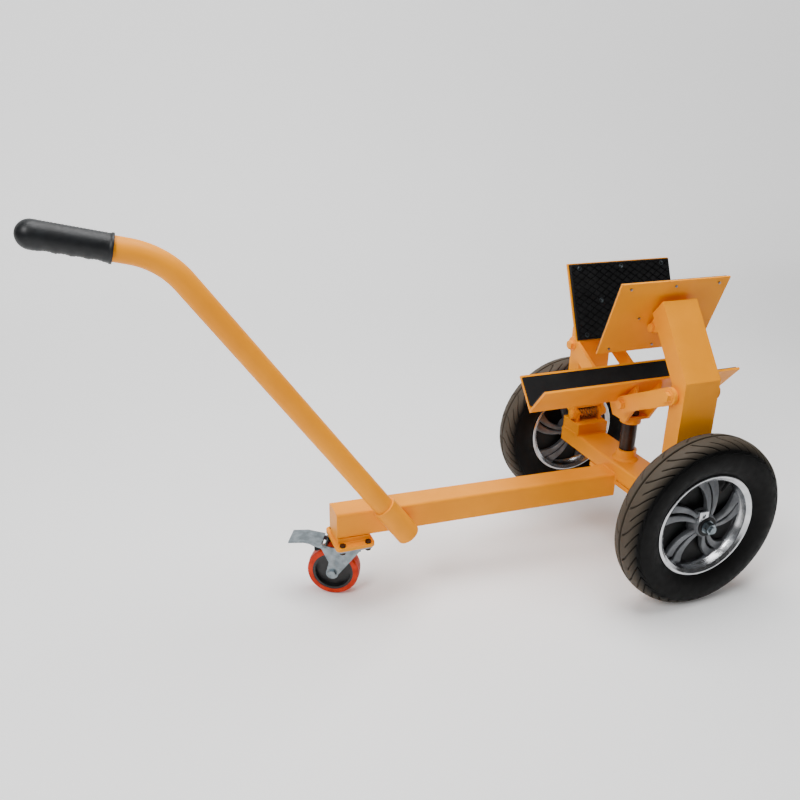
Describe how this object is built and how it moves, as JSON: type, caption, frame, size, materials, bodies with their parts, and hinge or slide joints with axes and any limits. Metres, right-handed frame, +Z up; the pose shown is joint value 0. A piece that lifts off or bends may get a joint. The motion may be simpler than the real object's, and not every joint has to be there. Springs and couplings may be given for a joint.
{
  "type": "slab dolly",
  "caption": "Three-wheeled self-clamping dolly for slabs: a V trough that sinks under load and swings two padded arms inwards, with a swivel castor and a tall angled handle.",
  "frame": {"origin": "on the floor, under the middle of the whole dolly", "axes": "+X runs from the handle and castor end towards the main axle, +Y from the handle's side to the other side, +Z up"},
  "size_m": [1.6476, 0.6888, 0.9344],
  "materials": {
    "frame_paint": "gloss orange-yellow enamel over welded steel",
    "zinc": "bright zinc plating",
    "black_rod": "black oxide, lightly oiled",
    "black_rubber": "matt moulded rubber",
    "grip_rubber": "soft moulded grip",
    "tyre_rubber": "matt tyre rubber with curved grooves",
    "rim_alloy": "cast alloy with machined lips",
    "castor_core": "black nylon",
    "castor_tread": "orange-red polyurethane"
  },
  "bodies": {
    "frame": {"cross_beam": "frame_paint", "beam_end_plates": "frame_paint", "joint_plate": "frame_paint", "drawbar": "frame_paint", "drawbar_end_plate": "frame_paint", "castor_riser": "frame_paint", "castor_flange": "frame_paint", "flange_bolts": "black_rod", "handle_socket": "frame_paint", "guide_sleeve": "frame_paint", "near_hinge_block": "frame_paint", "far_hinge_block": "frame_paint", "hinge_pins": "frame_paint", "hinge_springs": "frame_paint", "near_spindle": "zinc", "far_spindle": "zinc", "axle_nuts": "zinc", "castor_plate": "zinc", "king_pin": "zinc"},
    "near_arm": {"near_arm": "frame_paint", "near_arm_cap": "frame_paint", "near_link_bolt": "frame_paint", "near_pad_pin": "frame_paint"},
    "far_arm": {"far_arm": "frame_paint", "far_arm_cap": "frame_paint", "far_link_bolt": "frame_paint", "far_pad_pin": "frame_paint"},
    "near_pad": {"near_pad_plate": "frame_paint", "near_pad_rubber": "black_rubber", "near_pad_screws": "zinc"},
    "far_pad": {"far_pad_plate": "frame_paint", "far_pad_rubber": "black_rubber", "far_pad_screws": "zinc"},
    "near_links": {"near_front_link": "frame_paint", "near_rear_link": "frame_paint"},
    "far_links": {"far_front_link": "frame_paint", "far_rear_link": "frame_paint"},
    "trough": {"trough": "frame_paint", "trough_lining": "black_rubber", "trough_hanger": "frame_paint", "guide_rod": "black_rod", "trough_bolts": "frame_paint"},
    "handle": {"handle_tube": "frame_paint", "handle_grip": "grip_rubber"},
    "castor_fork": {"castor_fork": "zinc", "castor_axle_bolt": "zinc", "brake_pin": "zinc"},
    "castor_wheel": {"castor_core": "castor_core", "castor_tread": "castor_tread", "castor_bushing": "zinc"},
    "castor_brake": {"brake_pedal": "zinc", "brake_shoe": "black_rubber"},
    "near_wheel": {"near_tyre": "tyre_rubber", "near_rim": "rim_alloy", "near_bearings": "zinc", "near_valve": "black_rubber"},
    "far_wheel": {"far_tyre": "tyre_rubber", "far_rim": "rim_alloy", "far_bearings": "zinc", "far_valve": "black_rubber"}
  },
  "joints": [
    {"name": "trough_drop", "type": "slide", "parent": "frame", "child": "trough", "axis": [0, 0, -1], "range_m": [0, 0.035], "stiffness_N_per_m": 4000, "springref_m": -0.06},
    {"name": "near_arm_swing", "type": "hinge", "parent": "frame", "child": "near_arm", "pos_m": [0.5508, -0.195, 0.298], "axis": [-1, 0, 0], "range_deg": [0, 6.2]},
    {"name": "far_arm_swing", "type": "hinge", "parent": "frame", "child": "far_arm", "pos_m": [0.5508, 0.195, 0.298], "axis": [1, 0, 0], "range_deg": [0, 6.2]},
    {"name": "near_link_turn", "type": "hinge", "parent": "near_arm", "child": "near_links", "pos_m": [0.5508, -0.204, 0.504], "axis": [-1, 0, 0], "range_deg": [0, 6.9]},
    {"name": "far_link_turn", "type": "hinge", "parent": "far_arm", "child": "far_links", "pos_m": [0.5508, 0.204, 0.504], "axis": [1, 0, 0], "range_deg": [0, 6.9]},
    {"name": "near_pad_tilt", "type": "hinge", "parent": "near_arm", "child": "near_pad", "pos_m": [0.5508, -0.08937, 0.63324], "axis": [-1, 0, 0], "range_deg": [-2, 20]},
    {"name": "far_pad_tilt", "type": "hinge", "parent": "far_arm", "child": "far_pad", "pos_m": [0.5508, 0.08937, 0.63324], "axis": [1, 0, 0], "range_deg": [0, 22]},
    {"name": "handle_lift", "type": "slide", "parent": "frame", "child": "handle", "axis": [-0.585, 0, 0.8111], "range_m": [0, 0.09]},
    {"name": "castor_swivel", "type": "hinge", "parent": "frame", "child": "castor_fork", "pos_m": [-0.2152, 0, 0.13], "axis": [0, 0, 1], "continuous": true},
    {"name": "castor_roll", "type": "hinge", "parent": "castor_fork", "child": "castor_wheel", "pos_m": [-0.25084, 0.01816, 0.0635], "axis": [0.454, 0.891, 0], "continuous": true},
    {"name": "brake_press", "type": "hinge", "parent": "castor_fork", "child": "castor_brake", "pos_m": [-0.26688, 0.02633, 0.131], "axis": [-0.454, -0.891, 0], "range_deg": [0, 5.5]},
    {"name": "near_wheel_roll", "type": "hinge", "parent": "frame", "child": "near_wheel", "pos_m": [0.5508, -0.29, 0.216], "axis": [0, 1, 0], "continuous": true},
    {"name": "far_wheel_roll", "type": "hinge", "parent": "frame", "child": "far_wheel", "pos_m": [0.5508, 0.29, 0.216], "axis": [0, 1, 0], "continuous": true}
  ],
  "couplings": [
    {"joint": "near_arm_swing", "follows": "trough_drop", "rad_per_m": 3.05},
    {"joint": "far_arm_swing", "follows": "trough_drop", "rad_per_m": 3.05},
    {"joint": "near_link_turn", "follows": "trough_drop", "rad_per_m": 3.37},
    {"joint": "far_link_turn", "follows": "trough_drop", "rad_per_m": 3.37}
  ]
}
